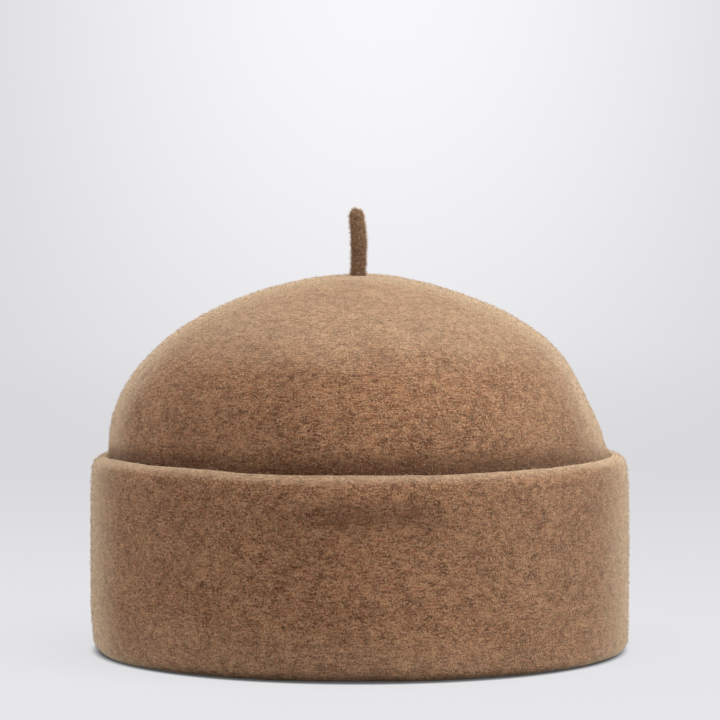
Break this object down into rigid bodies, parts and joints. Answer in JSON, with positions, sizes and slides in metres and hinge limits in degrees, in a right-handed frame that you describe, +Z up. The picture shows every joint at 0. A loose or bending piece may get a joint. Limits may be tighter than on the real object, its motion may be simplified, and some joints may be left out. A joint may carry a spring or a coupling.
{
  "type": "wool hat",
  "caption": "Soft felt hat with a round crown, a tall cuff turned up round it, an open hollow for the head and a short felt stalk on top.",
  "frame": {"origin": "middle of the hat, on the surface it stands on", "axes": "+Z up, the front towards -Y, the wearer's left towards +X"},
  "size_m": [0.188, 0.21, 0.1546],
  "materials": {
    "body_felt": "fine napped wool felt, melange of tan and dark brown fibres",
    "stalk_felt": "dense rolled wool felt, a little darker"
  },
  "bodies": {
    "root": {"felt_body": "body_felt", "stalk": "stalk_felt"}
  },
  "joints": []
}
